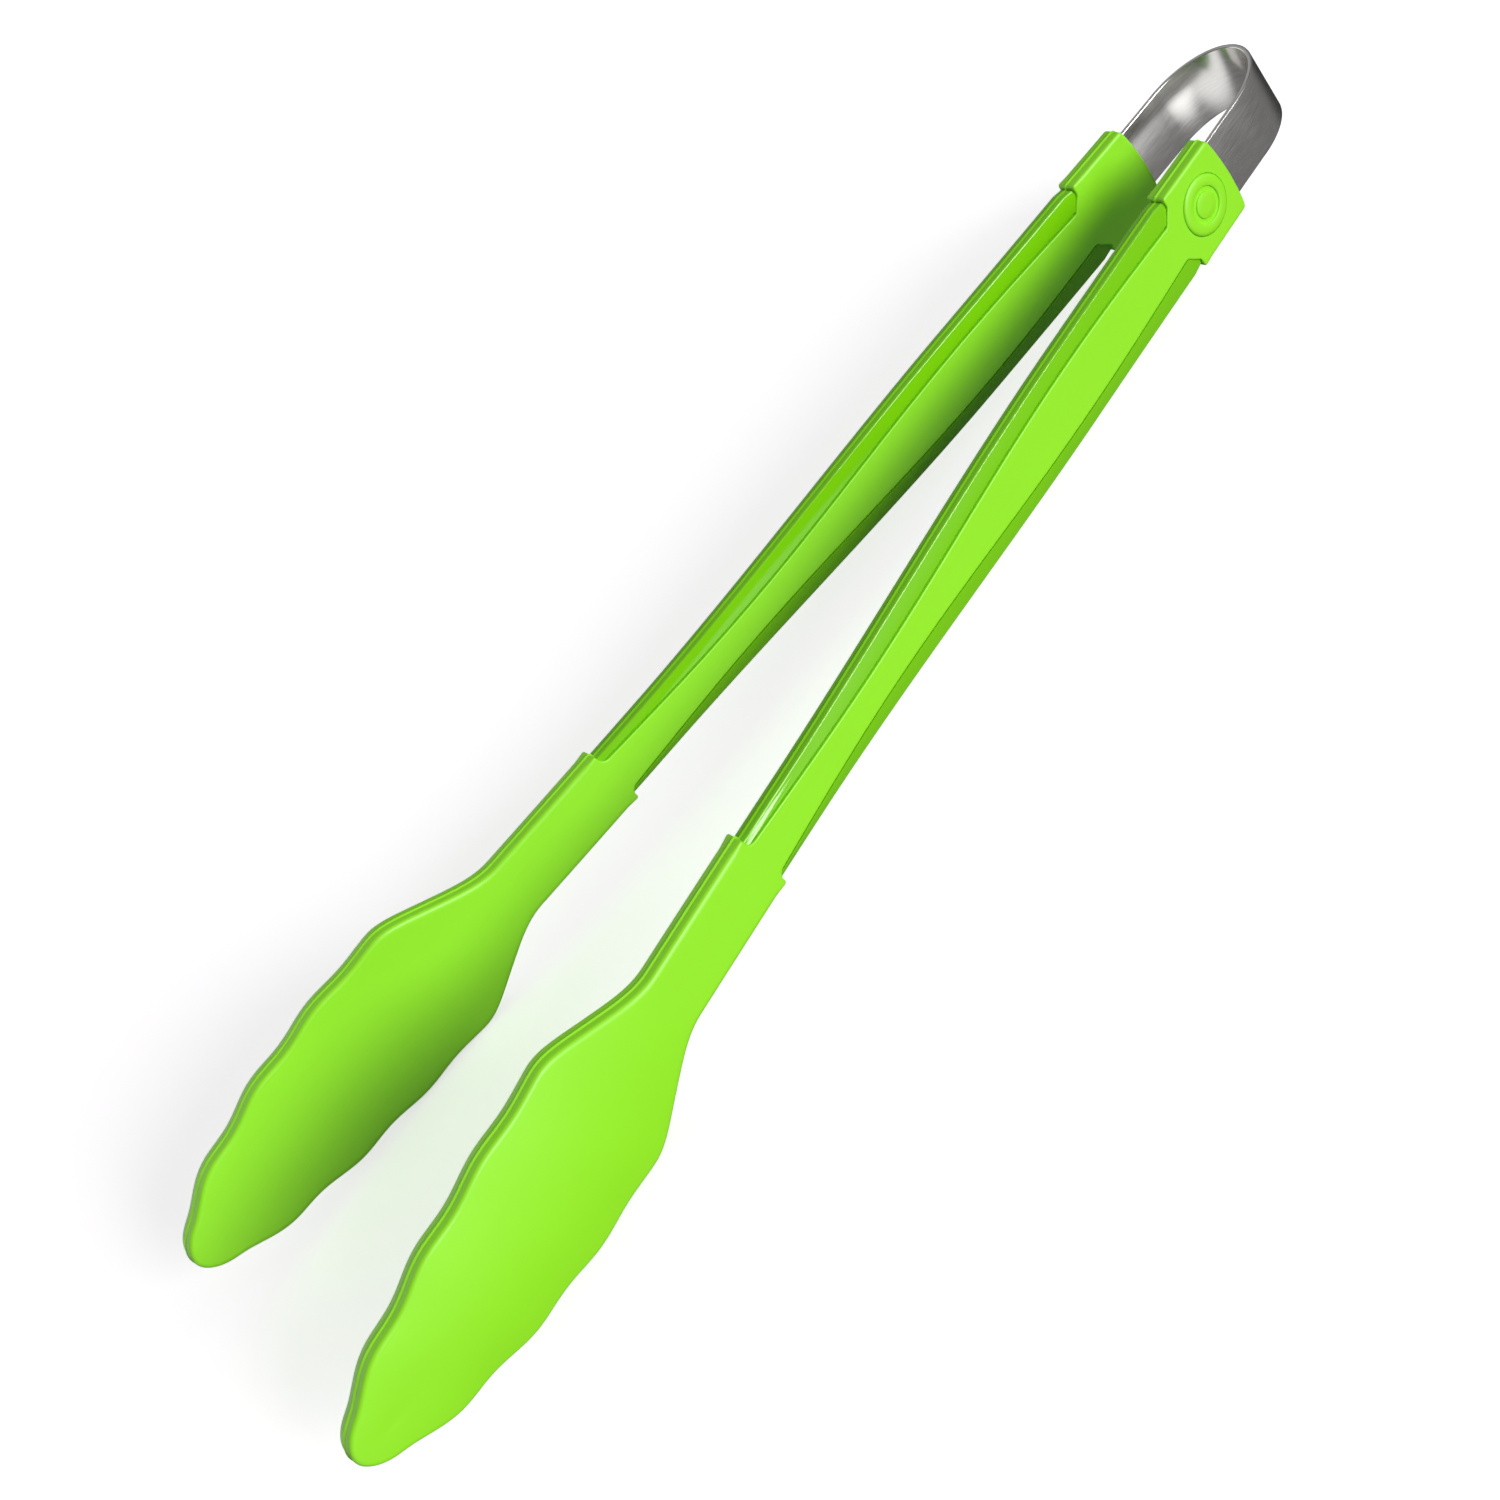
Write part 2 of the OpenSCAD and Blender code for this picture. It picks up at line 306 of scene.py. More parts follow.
def steps(low, high, gap):
    """Evenly spaced values from low to high, both included, about gap apart."""
    count = max(1, round((high - low) / gap))
    return [low + (high - low) * i / count for i in range(count + 1)]


def arc(centre, radius, start, end, count):
    """Points on an arc seen across the arm, angles in degrees."""
    angles = [math.radians(start + (end - start) * i / count) for i in range(count + 1)]
    return [(centre[0] + radius * math.cos(t), centre[1] + radius * math.sin(t)) for t in angles]


# ---------------------------------------------------------------- modelling helpers


def deselect():
    """Leaves edit mode and clears the selection."""
    if bpy.context.object and bpy.context.object.mode != "OBJECT":
        bpy.ops.object.mode_set(mode="OBJECT")
    bpy.ops.object.select_all(action="DESELECT")


def select_only(piece):
    """Makes one piece the selected and active one."""
    deselect()
    piece.select_set(True)
    bpy.context.view_layer.objects.active = piece


def add_sheet(name, rows):
    """Adds a grid and lays it over rows of points."""
    deselect()
    columns = len(rows[0])
    bpy.ops.mesh.primitive_grid_add(x_subdivisions=columns - 1, y_subdivisions=len(rows) - 1, size=0.1)
    piece = bpy.context.object
    piece.name = piece.data.name = name
    for i, vertex in enumerate(piece.data.vertices):
        vertex.co = rows[i // columns][i % columns]
    return piece


def weld(piece, fill_ends=False):
    """Merges doubles, closes open ends if asked, and turns the faces outwards."""
    select_only(piece)
    bpy.ops.object.mode_set(mode="EDIT")
    bpy.ops.mesh.select_all(action="SELECT")
    bpy.ops.mesh.remove_doubles(threshold=1e-6)
    bpy.ops.mesh.dissolve_degenerate(threshold=1e-7)
    if fill_ends:
        bpy.ops.mesh.select_all(action="DESELECT")
        bpy.ops.mesh.select_non_manifold()
        bpy.ops.mesh.fill_holes(sides=0)
    bpy.ops.mesh.select_all(action="SELECT")
    bpy.ops.mesh.normals_make_consistent(inside=False)
    bpy.ops.object.mode_set(mode="OBJECT")


def apply_modifier(piece, kind, **values):
    """Adds a modifier with those values and applies it."""
    select_only(piece)
    bpy.ops.object.modifier_add(type=kind)
    modifier = piece.modifiers[-1]
    for key, value in values.items():
        setattr(modifier, key, value)
    bpy.ops.object.modifier_apply(modifier=modifier.name)


def finish_piece(piece, material, body, nodes, angle=32):
    """Gives a piece its place, shading and material, and hangs it on its body."""
    select_only(piece)
    bpy.ops.object.transform_apply(location=True, rotation=True, scale=True)
    bpy.ops.object.shade_smooth_by_angle(angle=math.radians(angle))
    piece.data.materials.clear()
    piece.data.materials.append(material)
    if body:
        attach(piece, body)
    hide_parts(*nodes)
    deselect()


def at(arm, a, out, across):
    """A point on an arm: station, distance outwards from its middle, and height above its middle."""
    return Vector((TIP_X + a * MM, ARMS[arm] * (middle(a) + out) * MM, across * MM))


def raise_to_height(piece):
    """Lifts a piece modelled round its own middle height to the tongs' middle height."""
    piece.data.transform(Matrix.Translation((0, 0, MID_HEIGHT)))


# ---------------------------------------------------------------- materials


class NodeMaker:
    """Short way to add and link shader nodes."""

    def __init__(self, material):
        material.use_nodes = True
        self.tree = material.node_tree
        self.shader = self.tree.nodes["Principled BSDF"]

    def add(self, kind, **values):
        made = self.tree.nodes.new(kind)
        for key, value in values.items():
            setattr(made, key, value)
        return made

    def link(self, source, target):
        self.tree.links.new(source, target)


def new_material(name):
    """The material of that name, made if it isn't there yet."""
    old = bpy.data.materials.get(name)
    return old or bpy.data.materials.new(name)


def speckle(maker, scale, detail=3.0):
    """Noise in the piece's own space."""
    place = maker.add("ShaderNodeTexCoord")
    noise = maker.add("ShaderNodeTexNoise")
    noise.inputs["Scale"].default_value = scale
    noise.inputs["Detail"].default_value = detail
    maker.link(place.outputs["Object"], noise.inputs["Vector"])
    return noise


def shades(colour, low, high):
    """A darker and a lighter shade of a colour."""
    return tuple(c * low for c in colour), tuple(min(1, c * high) for c in colour)


def blend_colours(maker, factor, low, high):
    """Mixes two colours and gives the result to the shader's base colour."""
    mix = maker.add("ShaderNodeMix", data_type="RGBA")
    mix.inputs[6].default_value = (*low, 1)
    mix.inputs[7].default_value = (*high, 1)
    maker.link(factor, mix.inputs[0])
    maker.link(mix.outputs[2], maker.shader.inputs["Base Color"])


def vary_roughness(maker, value, low, high):
    """Lets the roughness run from low to high as the value runs from 0 to 1."""
    node = maker.add("ShaderNodeMapRange")
    node.inputs["To Min"].default_value = low
    node.inputs["To Max"].default_value = high
    maker.link(value, node.inputs["Value"])
    maker.link(node.outputs["Result"], maker.shader.inputs["Roughness"])


def add_bump(maker, height, strength, distance):
    """Very fine relief on the surface."""
    bump = maker.add("ShaderNodeBump")
    bump.inputs["Strength"].default_value = strength
    bump.inputs["Distance"].default_value = distance
    maker.link(height, bump.inputs["Height"])
    maker.link(bump.outputs["Normal"], maker.shader.inputs["Normal"])


def rubber():
    """Lime silicone: satin, with a very fine moulded grain and slight mottling."""
    settings = bpy.context.scene.tongs_skin
    material = new_material("lime_silicone")
    if material.get("made"):
        return material
    maker = NodeMaker(material)
    cloud = speckle(maker, 45, 4)
    blend_colours(maker, cloud.outputs["Fac"], *shades(settings.colour, 0.97, 1.02))
    grain = speckle(maker, 2600, 2)
    vary_roughness(maker, grain.outputs["Fac"], settings.roughness - 0.04, settings.roughness + 0.04)
    add_bump(maker, grain.outputs["Fac"], 0.12, 0.00004)
    maker.shader.inputs["Specular IOR Level"].default_value = 0.7
    material["made"] = True
    return material


def nylon():
    """Lime nylon: glossy, slightly deeper in colour, with faint flow marks along the handle."""
    settings = bpy.context.scene.tongs_core
    material = new_material("lime_nylon")
    if material.get("made"):
        return material
    maker = NodeMaker(material)
    cloud = speckle(maker, 30, 4)
    blend_colours(maker, cloud.outputs["Fac"], *shades(settings.colour, 0.96, 1.03))
    place = maker.add("ShaderNodeTexCoord")
    stretch = maker.add("ShaderNodeMapping")
    stretch.inputs["Scale"].default_value = (30, 400, 400)
    flow = maker.add("ShaderNodeTexNoise")
    flow.inputs["Scale"].default_value = 1
    maker.link(place.outputs["Object"], stretch.inputs["Vector"])
    maker.link(stretch.outputs["Vector"], flow.inputs["Vector"])
    vary_roughness(maker, flow.outputs["Fac"], settings.roughness - 0.03, settings.roughness + 0.05)
    add_bump(maker, flow.outputs["Fac"], 0.08, 0.00003)
    maker.shader.inputs["Specular IOR Level"].default_value = 0.38
    material["made"] = True
    return material


def strip_steel():
    """Stainless strip, finely brushed along its length."""
    settings = bpy.context.scene.tongs_strip
    material = new_material("brushed_strip")
    if material.get("made"):
        return material
    maker = NodeMaker(material)
    place = maker.add("ShaderNodeUVMap")
    stretch = maker.add("ShaderNodeMapping")
    stretch.inputs["Scale"].default_value = (90, 3, 1)
    lines = maker.add("ShaderNodeTexNoise")
    lines.inputs["Scale"].default_value = 5
    lines.inputs["Detail"].default_value = 8
    maker.link(place.outputs["UV"], stretch.inputs["Vector"])
    maker.link(stretch.outputs["Vector"], lines.inputs["Vector"])
    blend_colours(maker, lines.outputs["Fac"], *shades(settings.colour, 0.86, 1.12))
    vary_roughness(maker, lines.outputs["Fac"], settings.roughness - 0.07, settings.roughness + 0.07)
    add_bump(maker, lines.outputs["Fac"], 0.1, 0.00002)
    maker.shader.inputs["Metallic"].default_value = 1.0
    material["made"] = True
    return material


def plain_steel():
    """Stainless steel of the hidden fastenings, with small spots."""
    material = new_material("fastening_steel")
    if material.get("made"):
        return material
    maker = NodeMaker(material)
    spots = speckle(maker, 900, 5)
    blend_colours(maker, spots.outputs["Fac"], (0.44, 0.43, 0.42), (0.62, 0.61, 0.6))
    vary_roughness(maker, spots.outputs["Fac"], 0.25, 0.42)
    add_bump(maker, spots.outputs["Fac"], 0.1, 0.00002)
    maker.shader.inputs["Metallic"].default_value = 1.0
    material["made"] = True
    return material


def floor_finish():
    """Matt pale floor that gives off a little light of its own."""
    settings = bpy.context.scene.tongs_stage
    material = new_material("pale_floor")
    maker = NodeMaker(material)
    cloud = speckle(maker, 3, 2)
    blend_colours(maker, cloud.outputs["Fac"], *shades(settings.floor, 0.995, 1))
    maker.shader.inputs["Roughness"].default_value = 0.9
    maker.shader.inputs["Specular IOR Level"].default_value = 0.1
    maker.shader.inputs["Emission Color"].default_value = (1, 1, 1, 1)
    maker.shader.inputs["Emission Strength"].default_value = settings.floor_glow
    return material


# ---------------------------------------------------------------- soft skins

SLEEVE_CORNER = 0.5
SLEEVE_WALL_TOP = 5.95
SLEEVE_WALL = 5.9
WINDOW_CORNER = 1.6
CHAMFER_LENGTH = 2.6
CHAMFER_HEIGHT = 2.8
CAP_CORNER = 0.5
CAP_END_CORNER = 0.75
CAP_END_BULGE = 0.8
WALL_FILLET = 0.3
CORNER_FILLET = 0.42
CAP_FILLET = 0.7
FILLET_FLATNESS = 0.85
FACE_STEPS = (0, 0.2, 0.4, 0.6, 0.75, 0.88, 0.96, 1)
FILLET_STEPS = 5

# Half width at which the cap's front corner starts, in mm
CAP_SHOULDER = cap_edge(CAP_START) - CAP_CORNER


def marked(kind, points):
    """Marks outline points as head (round edge), wall (upright) or stripe."""
    return [(a, s, kind) for a, s in points]


def head_outline():
    """Half outline of the head, the neck and the sleeve's end."""
    round_tip = [HEAD_LENGTH * (1 - math.cos(math.radians(degree))) for degree in range(0, 90)]
    fine = steps(HEAD_LENGTH, SHOULDER_END + 3, 1)[:-1]
    coarse = steps(SHOULDER_END + 3, SLEEVE_END - SLEEVE_CORNER, 2.4)[:-1]
    edge = [(a, head_edge(a)) for a in round_tip + fine + coarse]
    corner = (SLEEVE_END - SLEEVE_CORNER, NECK_HALF - SLEEVE_CORNER)
    edge += arc(corner, SLEEVE_CORNER, 90, 0, 4)
    edge.append((SLEEVE_END, SLEEVE_WALL_TOP))
    return marked("head", edge)


def window_outline():
    """Half outline of the stripe, with the round corner and the chamfer that frame the bare handle."""
    first, last = SLEEVE_END + WINDOW_CORNER, CAP_START - CHAMFER_LENGTH
    corner = arc((first, stripe_edge(first) + WINDOW_CORNER), WINDOW_CORNER, 180, 270, 8)
    start = [(SLEEVE_END, SLEEVE_WALL)] + [(a, min(s, HANDLE_HALF)) for a, s in corner[:-1]]
    stripe = [(a, stripe_edge(a)) for a in steps(first, last - 0.4, 2.4)]
    low, high = stripe_edge(last), stripe_edge(last) + CHAMFER_HEIGHT
    chamfer = [(last + 0.06, low + 0.05), (last + 0.42, low + 0.34)]
    chamfer += [(a, low + CHAMFER_HEIGHT * (a - last) / CHAMFER_LENGTH)
                for a in steps(last + 0.9, CAP_START - 0.6, 0.5)]
    chamfer += [(CAP_START - 0.2, high - 0.3), (CAP_START - 0.02, high + 0.1)]
    chamfer += [(CAP_START, s) for s in (high + 0.6, CAP_SHOULDER - 0.5, CAP_SHOULDER - 0.15)]
    return marked("wall", start) + marked("stripe", stripe) + marked("wall", chamfer)


def cap_outline():
    """Half outline of the cap, round to the middle of its bulging end."""
    edge = [(CAP_START, CAP_SHOULDER - 0.05)]
    edge += arc((CAP_START + CAP_CORNER, CAP_SHOULDER), CAP_CORNER, 180, 90, 5)
    edge += [(a, cap_edge(a)) for a in steps(CAP_START + 1.5, CAP_END - 1.8, 1.2)]
    tip = cap_edge(CAP_END)
    edge += arc((CAP_END - CAP_END_CORNER, tip - CAP_END_CORNER), CAP_END_CORNER, 84, 8, 6)
    inward = [-s for s in steps(-(tip - 0.9), 0, 0.9)]
    edge += [(CAP_END + CAP_END_BULGE * (1 - (s / tip) ** 2), s) for s in inward]
    return marked("head", edge)


def skin_outline():
    """Half outline of a skin from the tip to the cap's end, as (station, half width, kind)."""
    return head_outline() + window_outline() + cap_outline()


def outline_normals(edge):
    """Outward direction at each point of an outline."""
    normals = []
    for i in range(len(edge)):
        before, after = edge[max(0, i - 1)], edge[min(len(edge) - 1, i + 1)]
        da, ds = after[0] - before[0], after[1] - before[1]
        length = math.hypot(da, ds) or 1
        normals.append((-ds / length, da / length))
    normals[0] = (-1, 0)
    normals[-1] = (1, 0)
    return normals


def centre_station(a, s):
    """Where the row through an outline point reaches the middle line of the arm."""
    if a < 100:
        return a + 9 * math.exp(-a / 14)
    if a < 200:
        return a - 0.9 * smooth((a - 110) / 7) * (1 - smooth((a - 120) / 12))
    wall_centre = CAP_START + 1.5
    if a < CAP_START:
        return a + 1.6 * smooth((a - 236) / 18)
    if a <= CAP_START + 0.01:
        return wall_centre + 0.03 * s
    cap_share = (a - CAP_START) / (CAP_END - CAP_START)
    if a <= CAP_END - 0.2 or s > 8:
        return wall_centre + 0.3 + 5.6 * cap_share
    return wall_centre + 5.9 + 1.2 * (1 - s / 8)


def fillet_radius(a, kind):
    """Radius of the round edge: small at the corners, so that the rows don't cross, and full past them."""
    if kind != "head":
        return WALL_FILLET
    full = CAP_FILLET if a > CAP_START - 1 else bpy.context.scene.tongs_skin.fillet / MM
    past = min(abs(a - SLEEVE_END) - SLEEVE_CORNER, abs(a - CAP_START) - CAP_CORNER)
    return CORNER_FILLET + (full - CORNER_FILLET) * smooth(past / 2)


def pocket_inset(a):
    """How far the pocket for the core lies inside the skin's edge."""
    if abs(a - SLEEVE_END) < 1 or abs(a - CAP_START) < 1:
        return 0.3
    if a > CAP_START:
        return CAP_WALL
    return 2.6 - 1.3 * smooth((a - SHOULDER_START) / 24)


def skin_row(arm, side, edge, normals, i):
    """One row of a skin, from the middle of its face round its edge to the pocket for the core."""
    settings = bpy.context.scene.tongs_skin
    sign = SIDES[side]
    a, s, kind = edge[i]
    na, ns = normals[i]
    at_end = i in (0, len(edge) - 1)
    radius = fillet_radius(a, kind)
    rise = (settings.dome if side == "outer" else settings.inner_dome) / MM
    centre = centre_station(a, s)
    swell = rise * smooth((centre - 4) / 30) * (1 - smooth((centre - 58) / 34))
    rim = (a - radius * na, max(0.0, s - radius * ns))
    if at_end:
        rim = (rim[0], 0.0)
    points = []
    for t in FACE_STEPS:
        pa = centre + (rim[0] - centre) * t
        points.append((pa, rim[1] * t, SKIN_FACE + swell * (1 - t * t)))
    drop = radius * FILLET_FLATNESS
    for k in range(1, FILLET_STEPS + 1):
        angle = math.radians(90 - 90 * k / FILLET_STEPS)
        reach = radius * math.cos(angle)
        points.append((rim[0] + reach * na, rim[1] + reach * ns, SKIN_FACE - drop + drop * math.sin(angle)))
    if kind == "head":
        bead = settings.bead / MM
        inset = pocket_inset(a)
        points.append((a, s, BEAD_FOOT))
        points.append((a + bead * na, s + bead * ns, 0.0))
        inner = (a - inset * na, max(0.0, s - inset * ns))
        if at_end:
            inner = (inner[0], 0.0)
        points.append((*inner, 0.0))
        points.append((*inner, CORE_TOP))
    else:
        points.append((a, s, CORE_TOP + 0.2))
        points.append((a, s, CORE_TOP))
        points.append((a - 0.1 * na, s - 0.1 * ns, CORE_TOP))
        points.append((a - 0.2 * na, s - 0.2 * ns, CORE_TOP))
    points.append((centre, 0.0, CORE_TOP))
    if at_end:
        points = [(pa, 0.0, out) for pa, _, out in points]
    return [at(arm, pa, sign * out, ps) for pa, ps, out in points]


def make_skin(arm, side):
    """One soft half of an arm's cover, from the head's tip to the cap's end."""
    edge = skin_outline()
    normals = outline_normals(edge)
    rows = [skin_row(arm, side, edge, normals, i) for i in range(len(edge))]
    piece = add_sheet(f"{arm}_{side}_soft_skin", rows)
    apply_modifier(piece, "MIRROR", use_axis=(False, False, True), use_clip=True, merge_threshold=2e-6)
    weld(piece)
    raise_to_height(piece)
    if side == "outer":
        cut_badge_seat(piece, arm)
    finish_piece(piece, rubber(), f"{arm}_arm", [f"{arm}_{side}_skin"])


SEAT_GAP = 0.00013


def badge_place(arm):
    """Middle of a badge at the cap's face, and the way that its face looks."""
    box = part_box(f"{arm}_badge")
    x = (box[0].x + box[1].x) / 2
    a = (x - TIP_X) / MM
    slope = (middle(a + 1) - middle(a - 1)) / 2
    outward = Vector((-slope, 1, 0)).normalized()
    outward.y *= ARMS[arm]
    return Vector((x, ARMS[arm] * (middle(a) + SKIN_FACE) * MM, MID_HEIGHT)), outward


def cut_badge_seat(piece, arm):
    """Cuts the round seat of a badge into a cap."""
    place, outward = badge_place(arm)
    deselect()
    radius = bpy.context.scene.tongs_badge.radius + SEAT_GAP
    bpy.ops.mesh.primitive_cylinder_add(vertices=96, radius=radius, depth=0.001)
    cutter = bpy.context.object
    cutter.data.transform(outward.to_track_quat("Z", "Y").to_matrix().to_4x4())
    cutter.data.transform(Matrix.Translation(place + outward * 0.0001))
    apply_modifier(piece, "BOOLEAN", operation="DIFFERENCE", solver="EXACT", object=cutter)
    if not piece.data.polygons:
        raise RuntimeError("the badge's seat could not be cut in " + piece.name)
    bpy.data.objects.remove(cutter)


# ---------------------------------------------------------------- hard cores


FACET_FOOT = 1.6
WALL_TOP = 1.25
WALL_ROUND = 0.45
WALL_DROP = 0.35


def core_row(arm, side, a, end=False):
    """One row of a hard half: the groove for the stripe, the facet, the edge and the seam."""
    settings = bpy.context.scene.tongs_core
    bead = bpy.context.scene.tongs_skin.bead / MM
    sign = SIDES[side]
    edge = core_edge(a)
    if SLEEVE_END - 0.01 <= a <= CAP_START + 0.01:
        groove = stripe_edge(a) + settings.gap / MM
        top = settings.facet_top / MM
        shape = [(0, CORE_TOP), (groove * 0.5, CORE_TOP), (groove, CORE_TOP), (groove, top - 0.1),
                 (groove + 0.1, top)]
        facet_end = edge - WALL_ROUND
        for t in (0.25, 0.5, 0.75, 1):
            fall = 0.55 * t + 0.45 * t * t
            shape.append((groove + 0.1 + (facet_end - groove - 0.1) * t, top + (FACET_FOOT - top) * fall))
        for k in range(1, 5):
            angle = math.radians(90 - 90 * k / 4)
            shape.append((facet_end + WALL_ROUND * math.cos(angle), WALL_TOP + WALL_DROP * math.sin(angle)))
        shape += [(edge, BEAD_FOOT), (edge + bead, 0)]
    else:
        flat = [0, 0.3, 0.55, 0.56, 0.57, 0.65, 0.75, 0.85, 0.9, 0.95, 0.98, 0.99, 1]
        shape = [(edge * t, CORE_TOP) for t in flat] + [(edge, BEAD_FOOT), (edge, 0)]
    shape.append((0, 0))
    return [at(arm, a, sign * out, 0 if end else across) for across, out in shape]


def make_core(arm, side):
    """One hard half of a handle, bare between the sleeve and the cap."""
    blade = HEAD_LENGTH - CORE_START
    stations = [CORE_START + blade * (1 - math.cos(math.radians(d))) for d in range(0, 90, 5)]
    stations += steps(HEAD_LENGTH, SLEEVE_END - 0.02, 2.5)
    stations += steps(SLEEVE_END, CAP_START, 2.5)
    stations += steps(CAP_START + 0.02, CAP_END - 1.3, 2.5)
    rows = [core_row(arm, side, a) for a in stations]
    rows.append(core_row(arm, side, stations[-1], end=True))
    piece = add_sheet(f"{arm}_{side}_hard_core", rows)
    apply_modifier(piece, "MIRROR", use_axis=(False, False, True), use_clip=True, merge_threshold=2e-6)
    weld(piece)
    raise_to_height(piece)
    finish_piece(piece, nylon(), f"{arm}_arm", [f"{arm}_{side}_core"])


# ---------------------------------------------------------------- badges


def make_badge(arm):
    """A round pillow with a plain ring pressed into it."""
    settings = bpy.context.scene.tongs_badge
    place, outward = badge_place(arm)
    deselect()
    bpy.ops.mesh.primitive_cylinder_add(
        vertices=96, radius=settings.radius, depth=0.0004, end_fill_type="NGON")
    piece = bpy.context.object
    piece.name = piece.data.name = f"{arm}_round_badge"
    bpy.ops.object.mode_set(mode="EDIT")
    bpy.ops.mesh.select_all(action="DESELECT")
    bpy.ops.object.mode_set(mode="OBJECT")
    for face in piece.data.polygons:
        face.select = face.normal.z > 0.9
    bpy.ops.object.mode_set(mode="EDIT")
    ring = settings.ring
    # Radius and height of each step from the rim to the middle
    profile = (
        (0.00562, 0.00012), (0.00545, 0.00024), (0.0052, 0.00033), (0.0048, 0.00040), (0.0043, 0.00043),
        (ring + 0.0006, 0.00040), (ring + 0.00052, 0.00036), (ring + 0.00044, 0.00006),
        (ring - 0.00044, 0.00006), (ring - 0.00052, 0.00036), (ring - 0.0006, 0.00040),
        (0.0011, 0.00043))
    radius, level = settings.radius, 0.0
    for new_radius, rise in profile:
        bpy.ops.mesh.inset(thickness=radius - new_radius, depth=0)
        bpy.ops.transform.translate(value=(0, 0, rise - level))
        radius, level = new_radius, rise
    bpy.ops.mesh.poke()
    bpy.ops.object.mode_set(mode="OBJECT")
    piece.data.transform(outward.to_track_quat("Z", "Y").to_matrix().to_4x4())
    piece.data.transform(Matrix.Translation(place - outward * 0.00019))
    finish_piece(piece, rubber(), f"{arm}_arm", [f"{arm}_badge"], 50)


# ---------------------------------------------------------------- spring strip


def strip_points(arm):
    """Middle line of half the strip, from the top of the bow to the end of the leg, in metres."""
    half_thickness = 0.45
    length = (CAD_BOX[1].x - TIP_X) / MM - half_thickness - BOW_START
    bow = [(BOW_START + length * math.cos(math.radians(t)), middle(BOW_START) * math.sin(math.radians(t)))
           for t in [0, 1, 2.5, 5, 8] + list(range(12, 88, 4))]
    leg = [(a, middle(a)) for a in steps(LEG_END, BOW_START, 1.5)][::-1]
    return [Vector((TIP_X + a * MM, ARMS[arm] * y * MM, 0)) for a, y in bow + leg]


def make_strip_half(arm):
    """Half of the strip, from the top of the bow to the end of its leg in the arm."""
    settings = bpy.context.scene.tongs_strip
    line = strip_points(arm)
    half, width = settings.thickness / 2, settings.width / 2
    rounding = 0.0002
    section = []
    corners = ((width - rounding, half - rounding, 0), (rounding - width, half - rounding, 90),
               (rounding - width, rounding - half, 180), (width - rounding, rounding - half, 270))
    for across, out, start in corners:
        for k in range(4):
            angle = math.radians(start + 30 * k)
            section.append((across + rounding * math.cos(angle), out + rounding * math.sin(angle)))
    section.append(section[0])
    rows = []
    for i, point in enumerate(line):
        along = (line[min(len(line) - 1, i + 1)] - line[max(0, i - 1)]).normalized()
        if i == 0:
            along = Vector((0, ARMS[arm], 0))
        side = Vector((-along.y, along.x, 0))
        rows.append([point + side * out + Vector((0, 0, across)) for across, out in section])
    piece = add_sheet(f"{arm}_half_of_strip", rows)
    weld(piece, fill_ends=True)
    raise_to_height(piece)
    finish_piece(piece, strip_steel(), None, ["spring_strip"], 40)
    start = (line[0].x - 0.001, 0, MID_HEIGHT)
    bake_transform(piece)


# ---------------------------------------------------------------- operators


class TONGS_OT_skins(bpy.types.Operator):
    """Model the soft skins of both arms"""

    bl_idname = "tongs.skins"
    bl_label = "Soft Skins"

    def execute(self, context):
        for arm in ARMS:
            for side in SIDES:
                make_skin(arm, side)
        return {"FINISHED"}


class TONGS_OT_cores(bpy.types.Operator):
    """Model the hard handle halves of both arms"""

    bl_idname = "tongs.cores"
    bl_label = "Hard Cores"

    def execute(self, context):
        for arm in ARMS:
            for side in SIDES:
                make_core(arm, side)
        return {"FINISHED"}


class TONGS_OT_badges(bpy.types.Operator):
    """Model the round badge on each cap"""

    bl_idname = "tongs.badges"
    bl_label = "Badges"

    def execute(self, context):
        for arm in ARMS:
            make_badge(arm)
        return {"FINISHED"}


class TONGS_OT_strip(bpy.types.Operator):
    """Model the two halves of the spring strip"""

    bl_idname = "tongs.strip"
    bl_label = "Spring Strip"

    def execute(self, context):
        for arm in ARMS:
            make_strip_half(arm)
        return {"FINISHED"}


class TONGS_OT_fastenings(bpy.types.Operator):
    """Finish the rivets, washers and spines that the skins cover"""

    bl_idname = "tongs.fastenings"
    bl_label = "Fastenings"

    def execute(self, context):
        for arm in ARMS:
            for part in ("spine", "end_rivet", "neck_rivet", "end_washer", "neck_washer"):
                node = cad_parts[f"{arm}_{part}"]
                node.data.materials.clear()
                node.data.materials.append(plain_steel())
        return {"FINISHED"}


class TONGS_OT_stage(bpy.types.Operator):
    """Add the floor, the lights and the camera"""

    bl_idname = "tongs.stage"
    bl_label = "Stage"

    def execute(self, context):
        settings = context.scene.tongs_stage
        bow = (0.14, 0, 0.017)
        deselect()
        bpy.ops.mesh.primitive_plane_add(size=12)
        floor = context.object
        floor.name = "floor"
        floor.data.materials.append(floor_finish())
        floor.visible_diffuse = False
        floor.visible_glossy = False
        add_sun("key_light", (0.30, -0.90, 0.27), settings.key_angle, settings.key_strength)
        add_sun("back_fill", (-0.45, 0.88, 0.12), math.radians(60), settings.fill_strength)
        add_area("strip_light", (0.55, -0.35, 0.45), bow, 0.25, settings.edge_power)
        make_studio(context.scene, settings)
        context.scene.view_settings.view_transform = "Standard"
        add_camera(settings.lens)
        return {"FINISHED"}


def ramp(tree, socket, start, end, low, high):
    """Smooth step of a value from one level to another."""
    node = tree.nodes.new("ShaderNodeMapRange")
    node.interpolation_type = "SMOOTHSTEP"
    for name, value in (("From Min", start), ("From Max", end), ("To Min", low), ("To Max", high)):
        node.inputs[name].default_value = value
    tree.links.new(socket, node.inputs["Value"])
    return node.outputs["Result"]


